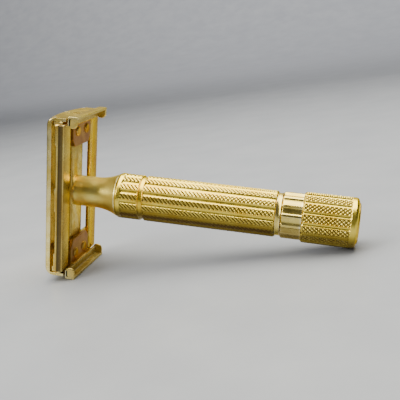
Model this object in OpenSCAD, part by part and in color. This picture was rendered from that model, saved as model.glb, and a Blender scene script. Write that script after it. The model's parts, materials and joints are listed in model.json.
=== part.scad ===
// Twist-to-open double-edge safety razor, lying on a surface with its doors closed.
// Every piece is modelled upright (knob end at z = 0, head on top, blade edges along y) and then laid down.

/* [Handle] */
// Outer radius of the fluted handle tube
tube_r = 5.95; // [5.8:0.05:6]
// Number of flutes around the handle and the knob
flutes = 14; // [12:1:16]
// Height of the shoulder where the tube meets the neck
tube_top = 62.4; // [60:0.1:64]
// Height of the narrow groove under the top band
band_z = 55.5; // [54:0.05:57]
// Radius of the neck below the head
neck_r = 4.05; // [3.9:0.05:4.3]

/* [Knob] */
// Outer radius of the knurled knob
knob_r = 6.42; // [6.3:0.01:6.5]
// Height of the knob's upper shoulder
knob_top = 14.1; // [13.5:0.1:14.5]
// Height of the top of the fluted collar
collar_top = 19.3; // [19:0.1:19.5]

/* [Head] */
// Half width across the two guard edges
guard_x = 12.3; // [12.2:0.05:12.5]
// Half length of the guard bars
guard_y = 19.3; // [19:0.1:19.5]
// Half width across the closed doors
door_x = 11; // [10.9:0.05:11.1]
// Half length of the doors over their end faces
door_y = 20.7; // [20.65:0.05:21.1]
// Height of the crown of the closed doors
crown_z = 80; // [79.8:0.05:80.2]

/* [Hidden] */
$fn = 96;

gold = "#d9b25f";
pale_gold = "#e3d3a0";
brass = "#b8923e";
steel = "#b9bcc0";

tube_bottom = 20.6;
tube_bore_r = 4.4;
groove_depth = 0.4;
flute_r = 1.0;
flute_depth = 0.34;
rod_r = 1.6;
rod_fit = 0.05;
key_w = 0.6;
rivet_z = 77.1;
pin_r = 0.35;

guard_z = 73.5;
bar_inner_x = 7.5;
bar_top_z = 74.8;
lip_top_z = 76.1;
plate_z = 74.4;
plate_t = 0.8;
plate_y = 19.85;
window_y = 12.8;
center_x = 3.6;
center_z = 74.5;
center_top_z = 76;
center_y = 15.5;

cap_y = 21.3;
cap_low_z = 70.6;
cap_shelf_z = 72.4;
cap_top_z = 73.15;
cap_x = 10.9;
cap_t = 0.7;

door_edge_z = 78.6;
door_t = 1;
door_gap = 0.12;
door_skirt_z = 73.6;
door_end_t = 0.75;
crown_drop = crown_z - door_edge_z;
crown_r = (door_x * door_x + crown_drop * crown_drop) / (2 * crown_drop);
hinge_x = 9.9;
hinge_z = 76.9;
post_r = 0.55;

// The razor lies on the knob's rim and on the two lower corners of the lower end cap.
rim_z = 1.1;
shoulder_z = 0.45;
end_face_r = 4.7;
tilt = atan2(cap_y - knob_r, cap_low_z - rim_z);
end_x = end_face_r * sin(tilt);
door_round = 2;
crown_x = -(door_y - door_round) * sin(tilt) - crown_z * cos(tilt) - door_round * (1 - cos(tilt));
floor_drop = cap_y * cos(tilt) - cap_low_z * sin(tilt);

module lay_down() {
    translate([-(end_x + crown_x) / 2, 0, floor_drop])
        rotate([0, tilt, 0])
            rotate([90, 0, -90])
                children();
}

// A ring from height z0 to z1 between radii r0 (0 for solid) and r1.
module ring(z0, z1, r0, r1) {
    rotate_extrude()
        translate([r0, z0])
            square([r1 - r0, z1 - z0]);
}

// Shallow round-bottomed flutes along a shaft of radius r.
module flute_cutters(r, z0, z1) {
    for (i = [0 : flutes - 1])
        rotate([0, 0, 360 * i / flutes])
            translate([r + flute_r - flute_depth, 0, z0])
                cylinder(r = flute_r, h = z1 - z0, $fn = 24);
}

// Children drawn on both sides of the head's mirror plane x = 0.
module both_sides() {
    children();
    mirror([1, 0, 0]) children();
}

// Children drawn at both ends of the head.
module both_ends() {
    children();
    mirror([0, 1, 0]) children();
}

// An outline in x and z, extruded along y from y0 to y1.
module along_y(y0, y1) {
    translate([0, y1, 0])
        rotate([90, 0, 0])
            linear_extrude(height = y1 - y0)
                children();
}

module handle_tube() {
    color(gold)
    difference() {
        rotate_extrude()
            polygon([
                [tube_bore_r, tube_bottom], [tube_r - 0.35, tube_bottom], [tube_r, tube_bottom + 0.35],
                [tube_r, band_z - 0.7], [tube_r - groove_depth, band_z - 0.45],
                [tube_r - groove_depth, band_z + 0.45], [tube_r, band_z + 0.7],
                [tube_r, tube_top - 0.6], [tube_r - 0.25, tube_top], [tube_bore_r, tube_top]
            ]);
        flute_cutters(tube_r, tube_bottom - 1, tube_top - 1.6);
    }
}

module neck() {
    flare_r = tube_r - 0.35 - neck_r;
    flare = [for (t = [0 : 0.1 : 1]) [neck_r + flare_r * pow(1 - t, 2), tube_top + 0.4 + 6 * t]];
    color(gold)
    rotate_extrude()
        polygon(concat(
            [[rod_r + 0.5, tube_top - 6], [tube_bore_r, tube_top - 6], [tube_bore_r, tube_top],
             [tube_r - 0.3, tube_top]],
            flare,
            [[neck_r, center_z], [2.6, center_z], [2.6, center_top_z], [rod_r + 0.5, center_top_z]]
        ));
}

module rod_guide() {
    color(brass)
    difference() {
        ring(58, center_top_z, rod_r + rod_fit, rod_r + 0.5);
        translate([-key_w / 2 - rod_fit, 0, 57])
            cube([key_w + 2 * rod_fit, 4, 9]);
    }
}

module lower_bush() {
    color(brass)
    ring(tube_bottom + 1, tube_bottom + 6, 3.4, tube_bore_r);
}

module thrust_washer() {
    color(pale_gold)
    ring(collar_top + 0.15, tube_bottom, 3.4, tube_r - 0.45);
}

module guard_bar() {
    along_y(-guard_y, guard_y)
        polygon([
            [bar_inner_x, guard_z], [guard_x - 0.3, guard_z], [guard_x, guard_z + 0.3],
            [guard_x - 0.1, guard_z + 1.5], [guard_x, guard_z + 1.9], [guard_x, lip_top_z - 0.4],
            [guard_x - 0.2, lip_top_z - 0.1], [guard_x - 0.4, lip_top_z], [guard_x - 0.6, lip_top_z - 0.1],
            [guard_x - 0.7, lip_top_z - 0.4], [guard_x - 0.7, bar_top_z], [bar_inner_x, bar_top_z]
        ]);
}

// Long shallow notches in the guard lip's upper edge.
module lip_notches() {
    for (y = [-14.2, 3.2])
        translate([guard_x - 1, y, lip_top_z - 0.35])
            cube([2, 11, 1]);
}

module hinge_post() {
    translate([hinge_x, 0, 0])
        along_y(18.6, plate_y) {
            translate([0, hinge_z])
                circle(r = post_r, $fn = 32);
            translate([-post_r, plate_z])
                square([2 * post_r, hinge_z - plate_z]);
        }
}

module guard_plate() {
    color(gold)
    difference() {
        union() {
            both_sides() {
                difference() {
                    guard_bar();
                    lip_notches();
                }
                both_ends()
                    hinge_post();
            }
            both_ends()
                translate([-guard_x + 1, window_y, plate_z])
                    cube([2 * guard_x - 2, plate_y - window_y, plate_t]);
        }
        both_sides() both_ends()
            translate([hinge_x, 0, hinge_z])
                rotate([-90, 0, 0])
                    cylinder(r = pin_r, h = 30, $fn = 32);
    }
}

module center_bar() {
    color(gold)
    difference() {
        union() {
            translate([-center_x, -window_y + 0.05, center_z])
                cube([2 * center_x, 2 * window_y - 0.1, center_top_z - center_z]);
            both_ends()
                translate([-center_x, window_y - 0.1, plate_z + plate_t])
                    cube([2 * center_x, center_y - window_y, center_top_z - plate_z - plate_t]);
        }
        translate([0, 0, center_z - 1])
            cylinder(r = 2.6, h = 4);
    }
}

// One end cap: a tongue under the plate, a shelf, a hanging ear and two corner lugs.
module end_cap() {
    difference() {
        union() {
            translate([0, 0, guard_z - 0.1])
                linear_extrude(height = plate_z - guard_z + 0.1)
                    polygon([
                        [-6.2, 19.8], [-6.2, 14.4], [-4.7, 12.6],
                        [4.7, 12.6], [6.2, 14.4], [6.2, 19.8]
                    ]);
            translate([-6.2, 18.6, cap_shelf_z])
                cube([12.4, 1.2, guard_z - cap_shelf_z]);
            translate([-cap_x, 18.9, cap_shelf_z])
                cube([2 * cap_x, cap_y - 18.9, cap_top_z - cap_shelf_z]);
            translate([-cap_x, cap_y - cap_t, cap_low_z])
                cube([2 * cap_x, cap_t, cap_top_z - cap_low_z]);
            both_sides()
                translate([cap_x - cap_t, 18.2, cap_low_z])
                    cube([cap_t, cap_y - 18.2, cap_top_z - cap_low_z]);
        }
        for (x = [-3, 3])
            translate([x, 16.5, guard_z - 2])
                cylinder(r = 0.9, h = 5, $fn = 32);
    }
}

module end_cap_upper() {
    color(pale_gold)
    end_cap();
}

module end_cap_lower() {
    color(pale_gold)
    mirror([0, 1, 0])
        end_cap();
}

module end_cap_rivets() {
    color(gold)
    both_ends()
        for (x = [-3, 3])
            translate([x, 16.5, 0])
                rotate_extrude()
                    polygon([
                        [0, guard_z - 0.5], [1, guard_z - 0.5], [1.3, guard_z - 0.25], [1.3, guard_z - 0.1],
                        [0.9, guard_z - 0.1], [0.9, plate_z], [0, plate_z]
                    ]);
}

module hinge_pins() {
    color(steel)
    both_sides() both_ends()
        translate([hinge_x, 18.6, hinge_z])
            rotate([-90, 0, 0])
                cylinder(r = pin_r, h = door_y - 18.6, $fn = 32);
}

module knob_shell() {
    color(gold)
    difference() {
        rotate_extrude()
            polygon([
                [4.4, shoulder_z], [knob_r - 0.8, shoulder_z], [knob_r - 0.25, rim_z - 0.4], [knob_r, rim_z],
                [knob_r, knob_top - 0.4], [knob_r - 0.35, knob_top], [4.4, knob_top]
            ]);
        flute_cutters(knob_r, 2.2, knob_top + 1);
    }
}

module knob_collar() {
    color(pale_gold)
    difference() {
        rotate_extrude()
            polygon([
                [3.4, knob_top], [tube_r, knob_top], [tube_r, collar_top - 0.35],
                [tube_r - 0.35, collar_top], [3.4, collar_top]
            ]);
        flute_cutters(tube_r, knob_top - 1, collar_top + 1);
    }
}

module knob_end_disc() {
    color(gold)
    difference() {
        rotate_extrude()
            polygon([
                [0, 0], [end_face_r, 0], [end_face_r + 0.4, 0.15], [end_face_r + 0.6, shoulder_z],
                [4.4, shoulder_z], [4.4, 2.6], [0, 2.6]
            ]);
        translate([0, 0, -1])
            cylinder(r = 1.2, h = 5);
    }
}

module knob_rivet() {
    color(brass)
    ring(0, 6, 0, 1.2);
}

module drive_sleeve() {
    color(brass)
    difference() {
        union() {
            ring(6, knob_top, 0, 4.4);
            ring(knob_top, 27.5, 0, 3.35);
        }
        translate([0, 0, 9])
            cylinder(r = 2.3, h = 30);
        translate([0, 0, 26.6])
            difference() {
                cylinder(r = 5, h = 0.5);
                translate([0, 0, -1])
                    cylinder(r = 2.95, h = 3);
            }
    }
}

module retaining_clip() {
    color(steel)
    difference() {
        ring(26.7, 27.05, 2.95, 3.9);
        translate([-0.7, 2, 26])
            cube([1.4, 4, 2]);
    }
}

module lift_screw() {
    color(steel)
    ring(10, 33, 0, 2.25);
}

module push_rod() {
    color(steel)
    difference() {
        ring(33, rivet_z, 0, rod_r);
        key_block();
    }
}

// The key's block, half sunk in the rod.
module key_block() {
    translate([-key_w / 2, rod_r - 0.5, 58.8])
        cube([key_w, 0.9, 2]);
}

module rod_key() {
    color(steel)
    key_block();
}

module crosshead() {
    color(brass)
    difference() {
        translate([-2.4, -14, center_top_z + 0.2])
            cube([4.8, 28, rivet_z - center_top_z - 0.2]);
        translate([0, 0, 70])
            cylinder(r = rod_r, h = 20);
    }
}

module rod_rivet() {
    color(brass)
    rotate_extrude()
        polygon([[0, rivet_z], [2.2, rivet_z], [2, rivet_z + 0.3], [1.2, rivet_z + 0.6], [0, rivet_z + 0.7]]);
}

// A door's solid outline in x and z, from the skirt up to the crown.
// Below the hinge its inner edge is an arc about the hinge, so the doors pass each other as they open.
module door_outline() {
    intersection() {
        translate([door_gap, door_skirt_z])
            square([door_x - door_gap, 20]);
        translate([0, crown_z - crown_r])
            circle(r = crown_r, $fn = 360);
        union() {
            translate([0, hinge_z])
                square([door_x, 20]);
            translate([hinge_x, hinge_z])
                circle(r = hinge_x - door_gap, $fn = 360);
        }
    }
}

// One closed door: a crowned skin with an end face at each end that turns on a hinge pin.
module door() {
    difference() {
        intersection() {
            along_y(-door_y, door_y)
                door_outline();
            rotate([90, 0, 90])
                linear_extrude(height = 30) {
                    translate([-door_y, 0])
                        square([2 * door_y, crown_z - door_round]);
                    translate([-door_y + door_round, 0])
                        square([2 * (door_y - door_round), crown_z + 1]);
                    for (s = [-1, 1])
                        translate([s * (door_y - door_round), crown_z - door_round])
                            circle(r = door_round, $fn = 64);
                }
        }
        translate([-1, -door_y + door_end_t, 0])
            intersection() {
                cube([40, 2 * (door_y - door_end_t), 100]);
                translate([0, door_y - door_end_t, 0])
                    along_y(-30, 30)
                        translate([0, crown_z - crown_r])
                            circle(r = crown_r - door_t, $fn = 360);
            }
        both_ends()
            translate([hinge_x, 19, hinge_z])
                rotate([-90, 0, 0])
                    cylinder(r = pin_r + rod_fit, h = 5, $fn = 32);
    }
}

module door_near() {
    color(pale_gold)
    door();
}

module door_far() {
    color(pale_gold)
    mirror([1, 0, 0])
        door();
}

lay_down() handle_tube();
lay_down() neck();
lay_down() lower_bush();
lay_down() rod_guide();
lay_down() thrust_washer();
lay_down() guard_plate();
lay_down() center_bar();
lay_down() end_cap_upper();
lay_down() end_cap_lower();
lay_down() end_cap_rivets();
lay_down() hinge_pins();
lay_down() knob_shell();
lay_down() knob_collar();
lay_down() knob_end_disc();
lay_down() knob_rivet();
lay_down() drive_sleeve();
lay_down() retaining_clip();
lay_down() push_rod();
lay_down() lift_screw();
lay_down() rod_key();
lay_down() crosshead();
lay_down() rod_rivet();
lay_down() door_near();
lay_down() door_far();
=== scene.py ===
"""Looks for the twist-to-open safety razor.

Every piece is shaped in the razor's own coordinates, in millimetres: z runs up the handle from the
knob's end, y runs along the blade edges, x points to the near edge. The frame's joints say where those
axes lie.
"""

import json
import math

import bmesh
import bpy
import numpy as np
from mathutils import Matrix, Vector

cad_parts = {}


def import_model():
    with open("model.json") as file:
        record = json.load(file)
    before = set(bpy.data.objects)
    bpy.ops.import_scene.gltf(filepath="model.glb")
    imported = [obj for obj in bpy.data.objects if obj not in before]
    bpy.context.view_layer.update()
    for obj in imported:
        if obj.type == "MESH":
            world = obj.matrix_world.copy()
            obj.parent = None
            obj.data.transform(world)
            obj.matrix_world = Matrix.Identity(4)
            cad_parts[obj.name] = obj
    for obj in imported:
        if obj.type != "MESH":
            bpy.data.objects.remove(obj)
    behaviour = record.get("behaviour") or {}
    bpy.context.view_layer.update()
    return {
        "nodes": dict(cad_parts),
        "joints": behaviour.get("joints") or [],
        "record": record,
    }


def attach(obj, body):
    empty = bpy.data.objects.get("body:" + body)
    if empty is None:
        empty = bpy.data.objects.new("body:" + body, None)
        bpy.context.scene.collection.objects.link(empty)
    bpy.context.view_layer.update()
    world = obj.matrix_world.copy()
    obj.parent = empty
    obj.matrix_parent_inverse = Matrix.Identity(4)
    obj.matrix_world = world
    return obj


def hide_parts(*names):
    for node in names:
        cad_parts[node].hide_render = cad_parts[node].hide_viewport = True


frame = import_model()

MM = 0.001
TAU = 2 * math.pi

JOINTS = {j["name"]: j for j in frame["joints"]}
MOUNTS = {m["name"]: m for m in frame["record"]["mounts"]}

# The razor's axes and origin in the row frame.
HEAD_UP = Vector(JOINTS["rod_lift"]["axis"]).normalized()
EDGE_UP = Vector(JOINTS["near_door_open"]["axis"]).normalized()
NEAR = EDGE_UP.cross(HEAD_UP)
ORIGIN = Vector(MOUNTS["knob_end"]["pos_m"])
AXES = Matrix((NEAR, EDGE_UP, HEAD_UP)).transposed().to_4x4()
RAZOR = Matrix.Translation(ORIGIN) @ AXES @ Matrix.Scale(MM, 4)

# Handle and knob, mm
FLUTES = 14
FLUTE_DEPTH = 0.36
TUBE_R = 5.95
TUBE_Z = (20.6, 62.4)
TUBE_FLUTE = 0.62  # half the width of a flute
BAND_Z = 55.5
BAND_DEPTH = 0.4
KNOB_R = 6.42
KNOB_FLUTE = 0.5
KNOB_Z = (0.45, 14.1)
KNOB_RIM_Z = 1.1
COLLAR_TOP = 19.3
END_FACE_R = 4.7
NECK_R = 4.05
BORE_R = 4.4
SLEEVE_R = 3.4  # bore of the collar and the washer
GUIDE_R = 2.1  # bore of the neck, around the rod's guide
RIVET_R = 1.2
WASHER_GAP = 0.15

# Knurling, mm: how deep, and how far apart around and along
KNURL_DEPTH = 0.26
TUBE_KNURL = (1.02, 1.02)
KNOB_KNURL = (1.0, 1.06)

# Head, mm
GUARD_X = 12.3
GUARD_Y = 19.3
GUARD_Z = 73.5
BAR_INNER_X = 7.5
BAR_TOP_Z = 74.8
LIP_TOP_Z = 76.1
PLATE_Z = (74.4, 75.2)
PLATE_Y = 19.85
WINDOW_Y = 12.8
CENTER_X = 3.6
CENTER_Z = (74.5, 76.0)
CENTER_Y = 15.5
CENTER_HOLE_R = 2.6
DOOR_X = 11.0
DOOR_Y = 20.7
DOOR_GAP = 0.12
DOOR_T = 1.0
DOOR_END_T = 0.75
DOOR_ROLL = 2.0
DOOR_EDGE_Z = 78.6
DOOR_SKIRT_Z = 73.6
CROWN_Z = 80.0
CROWN_R = (DOOR_X ** 2 + (CROWN_Z - DOOR_EDGE_Z) ** 2) / (2 * (CROWN_Z - DOOR_EDGE_Z))
HINGE_X = 9.9
HINGE_Z = 76.9
POST_R = 0.55
POST_Y = 18.6
CAP_X = 10.9
CAP_Y = 21.3
CAP_Z = (70.6, 72.4, 73.15)
CAP_T = 0.7
SHELF_Y = 18.9
TONGUE_X = 6.2
TONGUE_Y = 19.8
STEP_Y = 18.6


# ---------------------------------------------------------------- materials

SCRATCH = 0.02  # depth of the finest marks, mm


def node(tree, kind, inputs=None, **settings):
    """A new shader node. Inputs that are sockets are linked, and the rest are set."""
    made = tree.nodes.new(kind)
    for name, value in settings.items():
        setattr(made, name, value)
    for name, value in (inputs or {}).items():
        socket = made.inputs[name]
        if isinstance(value, bpy.types.NodeSocket):
            tree.links.new(value, socket)
        else:
            socket.default_value = value
    return made


def ramp(tree, factor, *stops):
    """A colour ramp with a stop for each (place, colour)."""
    made = node(tree, "ShaderNodeValToRGB", {"Fac": factor})
    elements = made.color_ramp.elements
    while len(elements) < len(stops):
        elements.new(0.5)
    for element, (place, colour) in zip(elements, stops):
        element.position = place
        element.color = (*colour, 1) if len(colour) == 3 else colour
    return made.outputs["Color"]


def grey(value):
    return (value, value, value)


def noise(tree, place, scale, detail=4, roughness=0.55):
    return node(tree, "ShaderNodeTexNoise",
                {"Vector": place, "Scale": scale, "Detail": detail, "Roughness": roughness}).outputs["Fac"]


def mix(tree, factor, a, b, mode="MIX"):
    """Blends two colours, each of them a socket or three numbers."""
    made = node(tree, "ShaderNodeMix", data_type="RGBA", blend_type=mode)
    for index, value in ((0, factor), (6, a), (7, b)):
        if isinstance(value, bpy.types.NodeSocket):
            tree.links.new(value, made.inputs[index])
        else:
            made.inputs[index].default_value = value if index == 0 else (*value, 1)
    return made.outputs[2]


def plated_metal(name, base, tarnish, worn, rough=(0.16, 0.34), cavity=(0.10, 0.05, 0.015),
                 cavity_at=0.42, edge_at=0.56, patina=0.4, tint=(0.84, 0.66, 0.24)):
    """Plated metal: cloudy tarnish, darkened hollows, pale worn edges, smudged gloss and fine scratches.
    The darkening, partly soiling and partly painted shade, hides the metal; it comes from hollows found by
    the shader and from the mesh's own darkening attribute."""
    material = bpy.data.materials.new(name)
    material.use_nodes = True
    tree = material.node_tree
    shader = tree.nodes["Principled BSDF"]
    shader.inputs["Specular Tint"].default_value = (*tint, 1)
    place = node(tree, "ShaderNodeTexCoord").outputs["Object"]

    clouds = ramp(tree, noise(tree, place, 140, 5), (0.38, grey(0)), (0.68, grey(1)))
    colour = mix(tree, clouds, base, tarnish)
    speckle = ramp(tree, noise(tree, place, 1500, 3), (0.45, grey(0)), (0.75, grey(patina)))
    colour = mix(tree, speckle, colour, tarnish)

    point = node(tree, "ShaderNodeNewGeometry").outputs["Pointiness"]
    # Painted shade: hollows found by pointiness darken towards the cavity colour, partly soiling and partly
    # the shade that falls in them.
    dirt_and_shade = ramp(tree, point, (cavity_at, grey(1)), (0.495, grey(0)))
    # The mesh's darkening attribute adds painted shade on undersides and recesses, and soiling in the knurl
    # cuts.
    laid_in = node(tree, "ShaderNodeAttribute", attribute_name="dirt_and_shade").outputs["Fac"]
    dirt_and_shade = mix(tree, 1.0, dirt_and_shade, laid_in, "ADD")
    colour = mix(tree, dirt_and_shade, colour, cavity)
    bare = node(tree, "ShaderNodeMapRange", {"Value": dirt_and_shade, "To Min": 1.0, "To Max": 0.25})
    tree.links.new(bare.outputs["Result"], shader.inputs["Metallic"])
    edge = ramp(tree, point, (0.51, grey(0)), (edge_at, grey(1)))
    broken = ramp(tree, noise(tree, place, 420, 4), (0.35, grey(0.15)), (0.6, grey(1)))
    wear = mix(tree, laid_in, mix(tree, 1.0, edge, broken, "MULTIPLY"), grey(0))
    colour = mix(tree, wear, colour, worn)
    tree.links.new(colour, shader.inputs["Base Color"])

    smudge = noise(tree, place, 260, 6, 0.65)
    gloss = node(tree, "ShaderNodeMapRange",
                 {"Value": smudge, "From Min": 0.3, "From Max": 0.7, "To Min": rough[0], "To Max": rough[1]})
    tree.links.new(gloss.outputs["Result"], shader.inputs["Roughness"])

    stretched = node(tree, "ShaderNodeMapping", {"Vector": place, "Scale": (350, 2600, 2600)})
    lines = noise(tree, stretched.outputs["Vector"], 1, 3)
    grain = noise(tree, place, 3200, 3)
    height = mix(tree, 0.5, lines, grain)
    bump = node(tree, "ShaderNodeBump", {"Height": height, "Strength": 0.25, "Distance": SCRATCH * MM})
    tree.links.new(bump.outputs["Normal"], shader.inputs["Normal"])
    return material


GOLD = plated_metal(
    "gold_plate", base=(0.90, 0.63, 0.06), tarnish=(0.64, 0.36, 0.02), worn=(0.98, 0.86, 0.36),
    rough=(0.2, 0.38))
GOLD_KNURLED = plated_metal(
    "gold_plate_knurled", base=(1.0, 0.78, 0.11), tarnish=(0.84, 0.57, 0.05), worn=(1.0, 0.93, 0.42),
    rough=(0.22, 0.36), cavity=(0.05, 0.018, 0.002), cavity_at=0.3, edge_at=0.62, patina=0.2)
# A brighter copy of the gold for the neck only: painted light, standing in for the sheen the neck catches.
NECK_SHEEN_GOLD = plated_metal(
    "neck_gold_painted_sheen", base=(1.0, 0.88, 0.27), tarnish=(0.94, 0.72, 0.15), worn=(1.0, 0.95, 0.52),
    rough=(0.32, 0.46), cavity=(0.30, 0.14, 0.03), patina=0.3, tint=(0.95, 0.74, 0.3))
PALE_GOLD = plated_metal(
    "pale_gold_plate", base=(0.86, 0.70, 0.20), tarnish=(0.66, 0.47, 0.08), worn=(0.98, 0.92, 0.60),
    tint=(0.86, 0.70, 0.34))
# A copy of the gold for the near guard bar only; its near-black hollow colour is painted shade on the dark
# fascia band.
NEAR_BAR_SHADED_GOLD = plated_metal(
    "near_bar_gold_painted_shade", base=(0.84, 0.66, 0.20), tarnish=(0.58, 0.36, 0.06), worn=(0.96, 0.90, 0.56),
    rough=(0.18, 0.32), cavity=(0.05, 0.034, 0.016))
# A darker copy of the gold: painted shade for the downward faces of the end caps' tongues and steps, and for
# the cap rivets.
CAP_SHADE_GOLD = plated_metal(
    "cap_gold_painted_shade", base=(0.48, 0.24, 0.035), tarnish=(0.22, 0.085, 0.012), worn=(0.86, 0.60, 0.16),
    rough=(0.24, 0.42), cavity=(0.15, 0.05, 0.006), tint=(0.8, 0.5, 0.16))
BRASS = plated_metal(
    "brass_inner", base=(0.58, 0.35, 0.06), tarnish=(0.34, 0.18, 0.03), worn=(0.84, 0.62, 0.22),
    rough=(0.28, 0.5))
STEEL = plated_metal(
    "steel_inner", base=(0.60, 0.60, 0.62), tarnish=(0.42, 0.40, 0.38), worn=(0.82, 0.82, 0.83),
    rough=(0.25, 0.45), cavity=(0.10, 0.09, 0.08), tint=(0.8, 0.8, 0.8))


# ---------------------------------------------------------------- shapes

def rounded(points, radius, steps=4, closed=True):
    """A polyline with each corner turned into an arc; radius may be one number or one for each corner."""
    points = [np.array(p, float) for p in points]
    count = len(points)
    radii = [radius] * count if np.isscalar(radius) else radius
    out = []
    for i, corner in enumerate(points):
        if not closed and i in (0, count - 1) or radii[i] <= 0:
            out.append(corner)
            continue
        before = points[i - 1] - corner
        after = points[(i + 1) % count] - corner
        len_before, len_after = np.linalg.norm(before), np.linalg.norm(after)
        before, after = before / len_before, after / len_after
        half = math.acos(np.clip(before @ after, -1, 1)) / 2
        if half > math.pi / 2 - 0.02:
            out.append(corner)
            continue
        reach = min(radii[i] / math.tan(half), 0.49 * len_before, 0.49 * len_after)
        start, end = corner + before * reach, corner + after * reach
        arc_r = reach * math.tan(half)
        middle = corner + (before + after) / np.linalg.norm(before + after) * arc_r / math.sin(half)
        a, b = start - middle, end - middle
        turn = math.acos(np.clip(a @ b / arc_r ** 2, -1, 1))
        for k in range(steps + 1):
            f = k / steps
            out.append(middle + (math.sin((1 - f) * turn) * a + math.sin(f * turn) * b) / math.sin(turn))
    return np.array(out)


def dense(path, step, closed=True):
    """The path with points added so that no stretch is longer than step."""
    ends = list(zip(path, np.roll(path, -1, axis=0))) if closed else list(zip(path[:-1], path[1:]))
    out = []
    for a, b in ends:
        parts = max(1, math.ceil(np.linalg.norm(b - a) / step - 1e-9))
        out += [a + (b - a) * k / parts for k in range(parts)]
    if not closed:
        out.append(path[-1])
    return np.array(out)


def laid_down(verts):
    """Razor coordinates in mm as row frame coordinates in metres."""
    return np.asarray(verts, float) @ np.array(RAZOR.to_3x3()).T + np.array(RAZOR.translation)


def piece(name, verts, faces, body, replaces, material, slot, sharp=40, dirt_and_shade=None):
    """A mesh of razor coordinates in mm, laid down, merged where it closes, and riding on its body.
    The darkening, from 0 to 1 for each vertex, is painted shade where a face lies in shade or faces the dark,
    and soiling in knurl cuts."""
    mesh = bpy.data.meshes.new(name)
    mesh.from_pydata(laid_down(verts).tolist(), [], faces)
    bm = bmesh.new()
    bm.from_mesh(mesh)
    if dirt_and_shade is not None:
        layer = bm.verts.layers.float.new("dirt_and_shade")
        for vert, amount in zip(bm.verts, np.ravel(dirt_and_shade).tolist()):
            vert[layer] = amount
    bmesh.ops.remove_doubles(bm, verts=bm.verts, dist=1e-7)
    bmesh.ops.dissolve_degenerate(bm, edges=bm.edges, dist=1e-8)
    bmesh.ops.recalc_face_normals(bm, faces=bm.faces)
    bm.to_mesh(mesh)
    bm.free()
    mesh.shade_smooth()
    mesh.set_sharp_from_angle(angle=math.radians(sharp))
    mesh.materials.append(material)
    obj = bpy.data.objects.new(name, mesh)
    bpy.context.scene.collection.objects.link(obj)
    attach(obj, body)
    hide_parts(replaces)
    return obj


def grid_faces(rows, columns, wrap_rows, wrap_columns, offset=0):
    """The quads of a grid of vertices, joined end to start where it wraps."""
    faces = []
    for i in range(rows if wrap_rows else rows - 1):
        for j in range(columns if wrap_columns else columns - 1):
            a, b = i * columns, (i + 1) % rows * columns
            k = (j + 1) % columns
            faces.append((offset + a + j, offset + a + k, offset + b + k, offset + b + j))
    return faces


def revolved(path, columns, shape=None):
    """Turns a closed path of (radius, height) about the handle's axis.
    shape gives how much is cut off at each angle, height and radius, and how dark it is painted there."""
    angle = np.arange(columns) * TAU / columns
    radius = np.repeat(path[:, :1], columns, axis=1)
    height = np.repeat(path[:, 1:], columns, axis=1)
    dirt_and_shade = np.zeros_like(radius)
    if shape is not None:
        cut, dirt_and_shade = shape(np.repeat(angle[None], len(path), 0), height, radius)
        radius = radius - cut
    verts = np.stack([radius * np.cos(angle), radius * np.sin(angle), height], -1).reshape(-1, 3)
    return verts, grid_faces(len(path), columns, True, True), dirt_and_shade


def capped_faces(rings, count):
    """The faces that join rings of count vertices in a row, and the two end faces."""
    faces = grid_faces(rings, count, False, True)
    faces.append(tuple(range(count)))
    faces.append(tuple(range(rings * count - 1, (rings - 1) * count - 1, -1)))
    return faces


def swept(outlines, stations):
    """Joins (x, z) outlines of equal length, one at each y, and caps both ends."""
    count = len(outlines[0])
    rings = [np.column_stack([o[:, 0], np.full(count, y), o[:, 1]]) for o, y in zip(outlines, stations)]
    return np.concatenate(rings), capped_faces(len(stations), count)


def smoothstep(low, high, value):
    """Rises smoothly from 0 at low to 1 at high. low may be the larger of the two."""
    t = np.clip((value - low) / (high - low), 0, 1)
    return t * t * (3 - 2 * t)


def flute(angle, radius, depth, half_width):
    """How far a round-bottomed flute cuts in at each angle, and the distance from the flute's middle."""
    step = TAU / FLUTES
    off = np.abs((angle + step / 2) % step - step / 2) * radius
    return depth * np.sqrt(np.clip(1 - (off / half_width) ** 2, 0, 1)), off


def knurl(angle, height, radius, pitch, second):
    """Two families of slanting cuts, a pitch apart around and along.
    second says how deep the other way's cuts are."""
    around, along = pitch
    width = 0.7
    turns = round(TAU * radius / around) * angle / TAU
    first = np.abs((turns - height / along) % 1 - 0.5) * 2
    other = np.abs((turns + height / along) % 1 - 0.5) * 2
    return np.maximum(1 - smoothstep(0.0, width, first), (1 - smoothstep(0.0, width, other)) * second)


# ---------------------------------------------------------------- handle and knob

def underside_shade(angle):
    """Painted shade: the colour darkens towards the edge-down side, the underside facing the floor, standing
    in for the shade and dark reflections there.
    """
    return smoothstep(0.0, 0.62, -np.sin(angle))


def tube_shape(angle, height, radius):
    """The handle's flutes and knurled lands, which stop at the band and short of both ends.
    The cuts of the second family fade in towards the knob."""
    outer = radius > BORE_R + 0.8
    groove, off = flute(angle, TUBE_R, FLUTE_DEPTH, TUBE_FLUTE)
    top = smoothstep(TUBE_Z[1] - 1.35, TUBE_Z[1] - 1.75, height)
    band = smoothstep(0.62, 0.8, np.abs(height - BAND_Z))
    bottom = smoothstep(TUBE_Z[0] + 0.35, TUBE_Z[0] + 0.6, height)
    second = smoothstep(46, 24, height) * 0.6
    land = smoothstep(0.58, 0.7, off) * top * band * bottom
    cuts = knurl(angle, height, TUBE_R, TUBE_KNURL, second) * land
    # Darkening: soiling and painted shade in the knurl cuts, and painted shade on the underside.
    dirt_and_shade = np.maximum(cuts, underside_shade(angle) * (0.84 + 0.12 * land))
    return outer * (groove * top * band + KNURL_DEPTH * cuts), outer * dirt_and_shade


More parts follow.
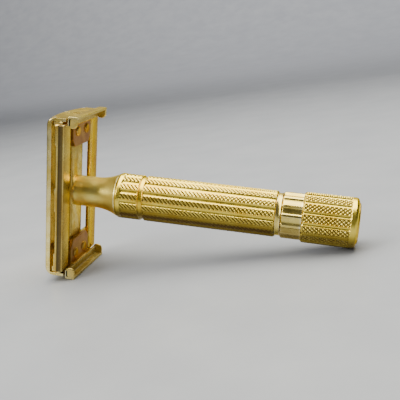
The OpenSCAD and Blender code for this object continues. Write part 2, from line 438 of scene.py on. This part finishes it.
def knob_shape(angle, height, radius):
    """The knob's flutes and diamond knurling, between a plain rim and the top edge."""
    outer = radius > KNOB_R - 0.3
    groove, off = flute(angle, KNOB_R, FLUTE_DEPTH, KNOB_FLUTE)
    bottom = smoothstep(KNOB_RIM_Z + 0.95, KNOB_RIM_Z + 1.25, height)
    top = smoothstep(KNOB_Z[1] - 0.35, KNOB_Z[1] - 0.6, height)
    cuts = knurl(angle, height, KNOB_R, KNOB_KNURL, 1.0) * smoothstep(0.5, 0.64, off) * bottom * top
    # Darkening: soiling and painted shade in the knurl cuts, and painted shade on the underside.
    dirt_and_shade = np.maximum(0.85 * cuts, 0.78 * underside_shade(angle))
    return outer * (groove * bottom + KNURL_DEPTH * cuts), outer * dirt_and_shade


def collar_shape(angle, height, radius):
    """The collar's flutes, which run its whole height."""
    outer = radius > BORE_R + 0.8
    groove, _ = flute(angle, TUBE_R, 0.34, 0.95)
    # Painted shade: the collar darkens towards its underside.
    return outer * groove, outer * 0.6 * underside_shade(angle)


def turned(name, path, columns, body, cad_node, material, slot, shape=None, sharp=60):
    """A piece of turned metal, with flutes and knurling if shape says so."""
    verts, faces, dirt_and_shade = revolved(path, columns, shape)
    return piece(name, verts, faces, body, cad_node, material, slot, sharp, dirt_and_shade)


def handle_tube():
    edge = 0.35
    path = rounded([
        (BORE_R, TUBE_Z[0]), (TUBE_R - edge, TUBE_Z[0]), (TUBE_R, TUBE_Z[0] + edge), (TUBE_R, BAND_Z - 0.7),
        (TUBE_R - BAND_DEPTH, BAND_Z - 0.45), (TUBE_R - BAND_DEPTH, BAND_Z + 0.45), (TUBE_R, BAND_Z + 0.7),
        (TUBE_R, TUBE_Z[1] - 0.6), (TUBE_R - 0.25, TUBE_Z[1]), (BORE_R, TUBE_Z[1])
    ], [0, 0.15, 0.15, 0.12, 0.1, 0.1, 0.12, 0.3, 0.12, 0])
    turned("handle_tube_knurled", dense(path, 0.105, closed=False), FLUTES * 26, "razor_frame", "handle_tube",
           GOLD_KNURLED, "gold_plate", tube_shape)


def knob_shell():
    path = rounded([
        (BORE_R, KNOB_Z[0]), (KNOB_R - 0.8, KNOB_Z[0]), (KNOB_R - 0.25, KNOB_RIM_Z - 0.4),
        (KNOB_R, KNOB_RIM_Z),
        (KNOB_R, KNOB_Z[1] - 0.4), (KNOB_R - 0.35, KNOB_Z[1]), (BORE_R, KNOB_Z[1])
    ], [0, 0.2, 0.3, 0.3, 0.2, 0.1, 0])
    turned("knob_shell_knurled", dense(path, 0.1, closed=False), FLUTES * 28, "knob", "knob_shell",
           GOLD_KNURLED, "gold_plate", knob_shape)


def knob_collar():
    path = rounded([
        (SLEEVE_R, KNOB_Z[1]), (TUBE_R, KNOB_Z[1]), (TUBE_R, COLLAR_TOP - 0.35), (TUBE_R - 0.35, COLLAR_TOP),
        (SLEEVE_R, COLLAR_TOP)
    ], [0, 0, 0.15, 0.12, 0])
    turned("knob_collar_fluted", dense(path, 0.4, closed=False), FLUTES * 20, "knob", "knob_collar",
           PALE_GOLD, "pale_gold_plate", collar_shape)


def knob_end_disc():
    path = rounded([
        (RIVET_R, 0), (END_FACE_R, 0), (END_FACE_R + 0.4, 0.15), (END_FACE_R + 0.6, KNOB_Z[0]),
        (BORE_R, KNOB_Z[0]), (BORE_R, 2.6), (RIVET_R, 2.6)
    ], [0, 0.5, 0.15, 0.1, 0, 0, 0])
    turned("knob_end_disc_turned", dense(path, 0.5), 128, "knob", "knob_end_disc", GOLD, "gold_plate",
           sharp=40)


def thrust_washer():
    """The smooth ring in the gap above the knob, hollowed like a pulley."""
    low, high = COLLAR_TOP + WASHER_GAP, TUBE_Z[0]
    waist = [(TUBE_R - 0.45 - 0.12 * math.sin(a), low + (high - low) * a / math.pi)
             for a in np.linspace(0, math.pi, 13)]
    path = np.array([(SLEEVE_R, low)] + waist + [(SLEEVE_R, high)])
    turned("thrust_washer_turned", path, 128, "razor_frame", "thrust_washer", PALE_GOLD, "pale_gold_plate",
           sharp=40)


def neck():
    """The neck flares into the tube, and its thin upper end holds the centre bar."""
    flare = [(NECK_R + (TUBE_R - 0.42 - NECK_R) * (1 - t) ** 2.1, TUBE_Z[1] + 0.35 + 6.2 * t)
             for t in np.linspace(0, 1, 18)]
    foot = [(GUIDE_R, TUBE_Z[1] - 6), (BORE_R, TUBE_Z[1] - 6), (BORE_R, TUBE_Z[1]),
            (TUBE_R - 0.3, TUBE_Z[1]), (TUBE_R - 0.32, TUBE_Z[1] + 0.18)]
    head = [(NECK_R, 72.9), (NECK_R + 0.04, 74.1), (NECK_R - 0.05, CENTER_Z[0]), (CENTER_HOLE_R, CENTER_Z[0]),
            (CENTER_HOLE_R, CENTER_Z[1]), (GUIDE_R, CENTER_Z[1])]
    turned("neck_turned", dense(np.array(foot + flare + head), 0.5), 128, "razor_frame", "neck",
           NECK_SHEEN_GOLD, "gold_plate", sharp=35)


# ---------------------------------------------------------------- guard

def guard_bar(side):
    """One guard bar: flat under side, hollowed fascia, and a lip with two long shallow notches."""
    corners = [
        (BAR_INNER_X, GUARD_Z), (GUARD_X - 0.25, GUARD_Z), (GUARD_X, GUARD_Z + 0.25),
        (GUARD_X - 0.14, GUARD_Z + 1.45), (GUARD_X, GUARD_Z + 1.75), (GUARD_X, LIP_TOP_Z - 0.3),
        (GUARD_X - 0.35, LIP_TOP_Z), (GUARD_X - 0.7, LIP_TOP_Z - 0.3), (GUARD_X - 0.7, BAR_TOP_Z),
        (BAR_INNER_X, BAR_TOP_Z)
    ]
    outline = rounded(corners, [0.75, 0.2, 0.2, 0.12, 0.15, 0.25, 0.2, 0.2, 0.15, 0.3], 6)
    tip = 0.8
    stations = np.unique(np.concatenate([
        np.linspace(-GUARD_Y, -GUARD_Y + tip, 9), np.linspace(-GUARD_Y + tip, GUARD_Y - tip, 160),
        np.linspace(GUARD_Y - tip, GUARD_Y, 9)]))
    x, z = outline.T
    # Painted shade: the hollowed fascia band is darkened to stand for the dark it reflects, and the flat
    # underside darkens towards the outer edge.
    fascia = smoothstep(GUARD_Z + 0.15, GUARD_Z + 0.4, z) * smoothstep(GUARD_Z + 1.75, GUARD_Z + 1.5, z)
    fascia *= x > GUARD_X - 0.3
    under = smoothstep(GUARD_Z + 0.1, GUARD_Z, z) * smoothstep(9.2, 11.6, x)
    centre = np.array([(BAR_INNER_X + GUARD_X) / 2, (GUARD_Z + BAR_TOP_Z) / 2])
    outlines = []
    for y in stations:
        end = GUARD_Y - abs(y)
        inset = 0.5 - math.sqrt(max(0, 0.25 - max(0, 0.5 - end) ** 2)) if end < 0.5 else 0
        dip = 0.34 * float(smoothstep(2.6, 3.4, abs(y)) * smoothstep(14.6, 13.8, abs(y)))
        shaped = outline.copy()
        lip = smoothstep(BAR_TOP_Z + 0.2, LIP_TOP_Z, shaped[:, 1])
        shaped[:, 1] -= lip * dip
        shaped[:, 0] -= np.sign(shaped[:, 0] - centre[0]) * inset
        shaped[:, 1] -= np.sign(shaped[:, 1] - centre[1]) * inset * 0.6
        outlines.append(shaped * [side, 1])
    verts, faces = swept(outlines, stations)
    return verts, faces, np.tile(np.maximum(fascia, 0.5 * under), len(stations))


def boxed(low, high):
    """A box between two opposite corners."""
    corners = np.array([[(low, high)[(k >> a) & 1][a] for a in range(3)] for k in range(8)], float)
    return corners, [(0, 2, 3, 1), (4, 5, 7, 6), (0, 1, 5, 4), (2, 6, 7, 3), (0, 4, 6, 2), (1, 3, 7, 5)]


def joined(parts):
    """Several (vertices, faces) as one."""
    verts, faces, start = [], [], 0
    for part_verts, part_faces in parts:
        verts.append(part_verts)
        faces += [tuple(start + i for i in f) for f in part_faces]
        start += len(part_verts)
    return np.concatenate(verts), faces


def soften(obj, width, segments=3, angle=30):
    """Rounds the sharp edges of a sheet-metal piece."""
    bevel = obj.modifiers.new("rounded_edges", "BEVEL")
    bevel.width = width * MM
    bevel.segments = segments
    bevel.limit_method = "ANGLE"
    bevel.angle_limit = math.radians(angle)
    bevel.harden_normals = True
    return obj


def plate_end(end):
    """The plate beyond the window, with the two hinge posts of one end."""
    parts = []
    low_y, high_y = sorted((end * WINDOW_Y, end * PLATE_Y))
    parts.append(boxed((-GUARD_X + 1.2, low_y, PLATE_Z[0]), (GUARD_X - 1.2, high_y, PLATE_Z[1])))
    for side in (-1, 1):
        post_low, post_high = sorted((end * POST_Y, end * PLATE_Y))
        x, foot = side * HINGE_X, PLATE_Z[0] + 0.1
        arch = [(x + POST_R * math.cos(a), HINGE_Z + POST_R * math.sin(a))
                for a in np.linspace(0, math.pi, 17)]
        arch = np.array([(x + POST_R, foot)] + arch + [(x - POST_R, foot)])
        parts.append(swept([arch, arch], [post_low, post_high]))
    return joined(parts)


def guard():
    """The guard plate, in four pieces: a bar along each edge and a plate at each end."""
    # The near bar takes its own copy of the gold, whose dark hollow colour paints shade on the fascia.
    for side, name, material in ((1, "near", NEAR_BAR_SHADED_GOLD), (-1, "far", GOLD)):
        verts, faces, dirt_and_shade = guard_bar(side)
        piece("guard_bar_" + name, verts, faces, "razor_frame", "guard_plate", material, "gold_plate",
              50, dirt_and_shade)
    for end, name in ((1, "upper"), (-1, "lower")):
        plate = piece("guard_end_" + name, *plate_end(end), "razor_frame", "guard_plate", GOLD, "gold_plate")
        soften(plate, 0.12)


def drilled(obj, radius, low, high):
    """Cuts a round hole along the handle's axis through a piece."""
    verts, faces, _ = revolved(np.array([(0.01, low), (radius, low), (radius, high), (0.01, high)]), 64)
    drill_mesh = bpy.data.meshes.new("drill")
    drill_mesh.from_pydata(laid_down(verts).tolist(), [], faces)
    drill = bpy.data.objects.new("drill", drill_mesh)
    bpy.context.scene.collection.objects.link(drill)
    hole = obj.modifiers.new("hole", "BOOLEAN")
    hole.operation = "DIFFERENCE"
    hole.solver = "EXACT"
    hole.object = drill
    bpy.context.view_layer.update()
    cut = bpy.data.meshes.new_from_object(obj.evaluated_get(bpy.context.evaluated_depsgraph_get()))
    obj.modifiers.clear()
    obj.data = cut
    bpy.data.objects.remove(drill)
    bpy.data.meshes.remove(drill_mesh)


def center_bar():
    """The raised bar between the slots, rounded over its long edges and its ends."""
    tip = 1.6
    stations = np.unique(np.concatenate([
        np.linspace(-CENTER_Y, -CENTER_Y + tip, 12), [-WINDOW_Y + 0.2, 0, WINDOW_Y - 0.2],
        np.linspace(CENTER_Y - tip, CENTER_Y, 12)]))
    outlines = []
    for y in stations:
        end = min(1, (CENTER_Y - abs(y)) / tip)
        wide = CENTER_X * (0.55 + 0.45 * math.sqrt(1 - (1 - end) ** 2))
        low, low_round = (CENTER_Z[0], 0.55) if abs(y) < WINDOW_Y else (PLATE_Z[1], 0.05)
        outlines.append(rounded([(-wide, low), (wide, low), (wide, CENTER_Z[1]), (-wide, CENTER_Z[1])],
                                [low_round, low_round, 0.25, 0.25], 5))
    verts, faces = swept(outlines, stations)
    # Painted shade: the whole centre bar is darkened, as it lies in shade between the guard bars.
    dirt_and_shade = np.full(len(verts), 0.4)
    bar = piece("center_bar_pressed", verts, faces, "razor_frame", "center_bar", GOLD, "gold_plate", 50, dirt_and_shade)
    drilled(bar, CENTER_HOLE_R, CENTER_Z[0] - 1, CENTER_Z[1] + 1)


# ---------------------------------------------------------------- doors

def door(side, name, body, cad_node):
    """One door: a crowned skin whose ends roll over into the end faces."""
    roll, rim = DOOR_ROLL, 0.5
    across = np.concatenate([np.linspace(DOOR_GAP, DOOR_X - rim, 26),
                             DOOR_X - rim * (1 - np.sin(np.linspace(0.2, 1.35, 6)))])
    across[-1] = DOOR_X - 0.02
    arc = np.linspace(0, math.pi / 2, 13)
    lines = []
    for x in across:
        top = CROWN_Z - CROWN_R + math.sqrt(CROWN_R ** 2 - x ** 2)
        near_edge = max(0, x - (DOOR_X - rim)) / rim
        top -= 0.35 * (1 - math.sqrt(1 - near_edge ** 2)) if near_edge > 0 else 0
        skirt = DOOR_SKIRT_Z
        if x < HINGE_X - 0.1:
            reach = HINGE_X - DOOR_GAP
            skirt = max(skirt, HINGE_Z - math.sqrt(max(0, reach ** 2 - (HINGE_X - x) ** 2)))
        half = [(DOOR_Y, z) for z in np.linspace(skirt, top - roll, 6)[:-1]]
        half += [(DOOR_Y - roll + roll * math.cos(a), top - roll + roll * math.sin(a)) for a in arc]
        line = [(x, -y, z) for y, z in half]
        line += [(x, y, top) for y in np.linspace(-DOOR_Y + roll, DOOR_Y - roll, 24)[1:-1]]
        line += [(x, y, z) for y, z in reversed(half)]
        lines.append(line)
    outer = np.array(lines)
    rows, columns = outer.shape[:2]

    # The inner skin: the same grid moved inwards by the sheet's thickness.
    inner = outer.copy()
    inner[..., 1] = np.clip(outer[..., 1], -DOOR_Y + DOOR_END_T, DOOR_Y - DOOR_END_T)
    tops = outer[:, columns // 2, 2][:, None]
    inner[..., 2] = np.minimum(outer[..., 2], tops - DOOR_T)
    verts = np.concatenate([outer.reshape(-1, 3), inner.reshape(-1, 3)]) * [side, 1, 1]
    total = rows * columns
    faces = grid_faces(rows, columns, False, False) + grid_faces(rows, columns, False, False, total)
    border = list(range(columns)) + [i * columns + columns - 1 for i in range(1, rows)]
    border += [(rows - 1) * columns + j for j in range(columns - 2, -1, -1)]
    border += [i * columns for i in range(rows - 2, 0, -1)]
    faces += [(a, b, total + b, total + a) for a, b in zip(border, border[1:] + border[:1])]
    obj = piece(name, verts, faces, body, cad_node, PALE_GOLD, "pale_gold_plate", 50)
    return soften(obj, 0.12, 3, 45)


# ---------------------------------------------------------------- end caps and small parts

def end_cap(end, name, cad_node):
    """Sheet metal folded into a tongue, a shelf, a hanging ear and two corner lugs."""
    slope_x, slope_y, tip_y = 4.7, 14.4, 12.6
    tongue = rounded([(-TONGUE_X, TONGUE_Y), (-TONGUE_X, slope_y), (-slope_x, tip_y), (slope_x, tip_y),
                      (TONGUE_X, slope_y), (TONGUE_X, TONGUE_Y)], [0, 0.7, 0.7, 0.7, 0.7, 0], 5)
    verts = np.array([(x, end * y, z) for z in (GUARD_Z - 0.1, PLATE_Z[0]) for x, y in tongue])
    # Painted shade: the tongue, facing down towards the handle, takes the darker copy of the gold and is
    # darkened further.
    soften(piece(name + "_tongue", verts, capped_faces(2, len(tongue)), "razor_frame", cad_node,
                 CAP_SHADE_GOLD, "pale_gold_plate", dirt_and_shade=np.full(len(verts), 0.62)), 0.18)

    y0, y1 = sorted((end * STEP_Y, end * TONGUE_Y))
    step = boxed((-TONGUE_X, y0, CAP_Z[1] + 0.1), (TONGUE_X, y1, GUARD_Z + 0.2))
    # Painted shade: the step takes the darker copy of the gold.
    soften(piece(name + "_step", *step, "razor_frame", cad_node, CAP_SHADE_GOLD, "pale_gold_plate"), 0.15)

    # The ear and shelf: one bent section swept across the head.
    section = rounded([(SHELF_Y, CAP_Z[2]), (CAP_Y, CAP_Z[2]), (CAP_Y, CAP_Z[0]), (CAP_Y - CAP_T, CAP_Z[0]),
                       (CAP_Y - CAP_T, CAP_Z[1]), (SHELF_Y, CAP_Z[1])], [0.1, 0.55, 0.2, 0.15, 0.3, 0.1], 5)
    places = np.linspace(-CAP_X, CAP_X, 12)
    verts = np.array([(x, end * y, z) for x in places for y, z in section])
    # Painted shade: the ear darkens on its faces turned in towards the head.
    inner = np.abs(verts[:, 1]) < CAP_Y - 0.5
    soften(piece(name + "_ear", verts, capped_faces(len(places), len(section)), "razor_frame", cad_node,
                 PALE_GOLD, "pale_gold_plate", dirt_and_shade=0.5 * inner), 0.12)

    outer_y, inner_y = CAP_Y - 0.3, 18.3
    outline = rounded([(outer_y, CAP_Z[2]), (inner_y, CAP_Z[2]), (inner_y, CAP_Z[0]), (outer_y, CAP_Z[0])],
                      [0, 0.9, 1.4, 0], 8)
    for side, where in ((1, "near"), (-1, "far")):
        verts = np.array([(side * x, end * y, z) for x in (CAP_X - CAP_T, CAP_X) for y, z in outline])
        # Painted shade: the lugs are darkened evenly to tone down the light they catch.
        soften(piece(name + "_lug_" + where, verts, capped_faces(2, len(outline)), "razor_frame", cad_node,
                     GOLD, "pale_gold_plate", dirt_and_shade=np.full(len(verts), 0.35)), 0.3)


def dress(names, material, bevel=None):
    """Gives carried-over CAD nodes their material."""
    for name in names:
        obj = frame["nodes"][name]
        obj.data.materials.clear()
        obj.data.materials.append(material)
        if bevel:
            soften(obj, bevel)


handle_tube()
knob_shell()
knob_collar()
knob_end_disc()
thrust_washer()
neck()
guard()
center_bar()
door(1, "door_near_pressed", "near_door", "door_near")
door(-1, "door_far_pressed", "far_door", "door_far")
end_cap(1, "end_cap_upper_folded", "end_cap_upper")
end_cap(-1, "end_cap_lower_folded", "end_cap_lower")
dress(["lower_bush", "rod_guide", "knob_rivet", "drive_sleeve", "rod_rivet"], BRASS)
dress(["crosshead"], BRASS, 0.15)
dress(["hinge_pins", "retaining_clip", "push_rod", "lift_screw", "rod_key"], STEEL)
# The cap rivets take the darker copy of the gold, painted shade.
dress(["end_cap_rivets"], CAP_SHADE_GOLD)


# ---------------------------------------------------------------- floor, light and camera

def stage():
    """A pale floor that turns up into a plain backdrop behind the razor."""
    reach, back, bend = 6.0, 1.1, 0.6
    path = [(-6.0, 0.0), (back, 0.0)]
    path += [(back + bend * math.sin(a), bend * (1 - math.cos(a)))
             for a in np.linspace(0, math.pi / 2, 24)[1:]]
    path.append((back + bend, 2.2))
    verts = [(x, y, z) for y, z in path for x in (-reach, reach)]
    mesh = bpy.data.meshes.new("floor")
    mesh.from_pydata(verts, [], [(2 * i, 2 * i + 1, 2 * i + 3, 2 * i + 2) for i in range(len(path) - 1)])
    mesh.shade_smooth()
    floor = bpy.data.objects.new("floor", mesh)
    bpy.context.scene.collection.objects.link(floor)
    material = bpy.data.materials.new("pale_floor")
    material.use_nodes = True
    tree = material.node_tree
    shader = tree.nodes["Principled BSDF"]
    place = node(tree, "ShaderNodeTexCoord").outputs["Object"]
    colour = ramp(tree, noise(tree, place, 40, 4), (0.3, (0.28, 0.30, 0.37)), (0.7, (0.32, 0.34, 0.41)))
    tree.links.new(colour, shader.inputs["Base Color"])
    shader.inputs["Roughness"].default_value = 0.45
    mesh.materials.append(material)


def soft_light(name, place, target, size, power, colour):
    """A rectangular area light aimed at target, in the row frame's metres."""
    data = bpy.data.lights.new(name, "AREA")
    data.shape = "RECTANGLE"
    data.size, data.size_y = size
    data.energy = power
    data.color = colour
    light = bpy.data.objects.new(name, data)
    light.location = place
    light.rotation_euler = (Vector(target) - Vector(place)).to_track_quat("-Z", "Y").to_euler()
    bpy.context.scene.collection.objects.link(light)


def world():
    """A dim, faintly blue surround."""
    made = bpy.data.worlds.new("studio")
    bpy.context.scene.world = made
    made.use_nodes = True
    made.node_tree.nodes["Background"].inputs["Color"].default_value = (0.50, 0.52, 0.58, 1)
    made.node_tree.nodes["Background"].inputs["Strength"].default_value = 0.16


def camera():
    """The camera's place and aim are in the razor's own coordinates, in mm."""
    place = RAZOR @ Vector((175.77, 49.17, 6.73))
    aim = RAZOR @ Vector((0, 1.21, 40.77))
    roll = math.radians(-8.23)
    data = bpy.data.cameras.new("camera")
    data.sensor_width = 36
    data.lens = 64.3
    data.clip_start = 0.01
    made = bpy.data.objects.new("camera", data)
    made.location = place
    turn = (aim - place).to_track_quat("-Z", "Y").to_matrix().to_4x4()
    made.rotation_euler = (turn @ Matrix.Rotation(roll, 4, "Z")).to_euler()
    bpy.context.scene.collection.objects.link(made)
    bpy.context.scene.camera = made


stage()
world()
soft_light("overhead", (-0.04, 0.06, 0.40), (0, 0, 0.02), (0.70, 0.46), 7.0, (1, 0.95, 0.76))
soft_light("front_left", (-0.34, -0.30, 0.30), (-0.03, 0, 0.03), (0.24, 0.24), 2.0, (1, 0.95, 0.78))
soft_light("backdrop_wash", (0, 0.55, 1.0), (0, 1.7, 1.0), (1.6, 0.3), 42, (1, 0.95, 0.80))
camera()
